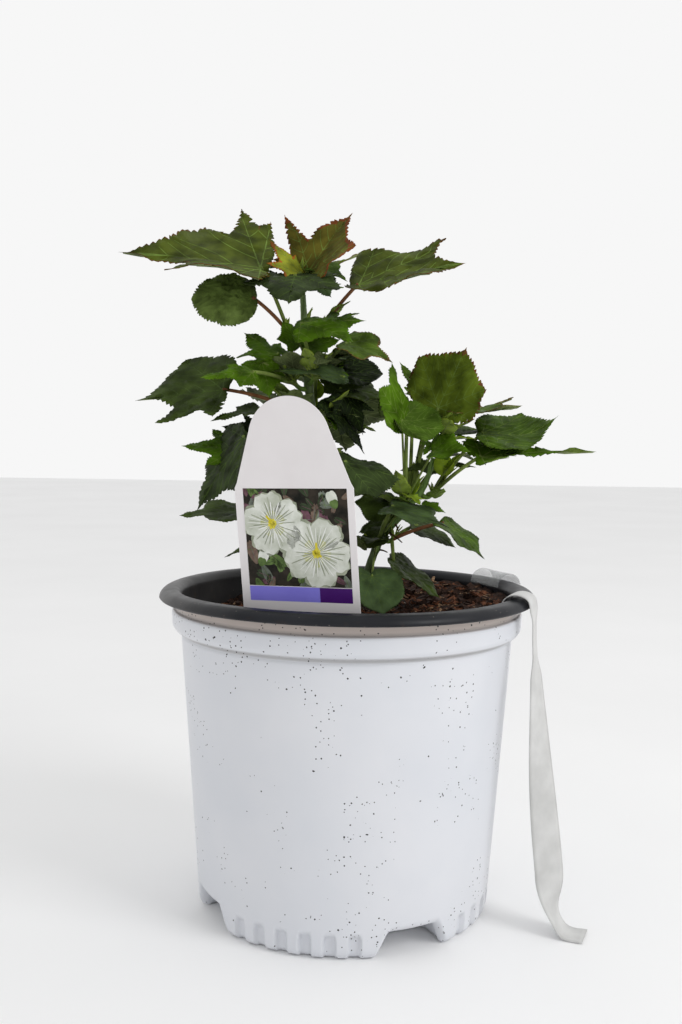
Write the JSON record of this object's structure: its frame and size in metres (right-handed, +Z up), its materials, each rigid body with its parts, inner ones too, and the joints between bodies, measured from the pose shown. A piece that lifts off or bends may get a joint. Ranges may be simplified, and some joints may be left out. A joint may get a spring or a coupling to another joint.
{
  "type": "potted hibiscus shrub",
  "caption": "Young hibiscus shrub with large lobed leaves in a white round nursery pot with a rolled black rim, a picture label and a strap label.",
  "frame": {"origin": "on the pot's axis, at the middle of its flat underside, which is ground level", "axes": "+Z up, -Y towards the front where the picture label stands, +X to the right seen from the front"},
  "size_m": [0.2999, 0.2398, 0.4535],
  "materials": {
    "pot_plastic": "smooth pale bluish white plastic with dark dust specks",
    "rim_plastic": "black plastic with a soft sheen",
    "bark_mix": "coarse moist bark chips with pale flecks",
    "old_stem": "green stem turning brown towards the foot",
    "young_stem": "smooth green stem",
    "leaf": "veined green leaf, satin above and paler below",
    "label_card": "pale plastic card with a printed picture",
    "strap_film": "bare white plastic film",
    "clear_film": "thin cloudy clear plastic"
  },
  "bodies": {
    "root": {"pot": "pot_plastic", "pot_rim": "rim_plastic", "soil": "bark_mix", "main_stem": "old_stem", "right_stem": "young_stem", "top_leaves": "leaf", "upper_left_leaves": "leaf", "upper_right_leaves": "leaf", "upper_back_leaves": "leaf", "middle_front_leaves": "leaf", "middle_right_leaves": "leaf", "middle_left_leaves": "leaf", "left_leaves": "leaf", "middle_back_leaves": "leaf", "right_front_leaves": "leaf", "lower_left_leaves": "leaf", "behind_label_leaves": "leaf", "low_back_leaves": "leaf", "lowest_left_leaves": "leaf", "shoot_tip_leaves": "leaf", "shoot_right_leaves": "leaf", "shoot_left_leaves": "leaf", "shoot_back_leaves": "leaf", "shoot_low_right_leaves": "leaf", "shoot_low_front_leaves": "leaf", "picture_label": "label_card", "strap_label": "strap_film", "clear_tab": "clear_film"}
  },
  "joints": []
}
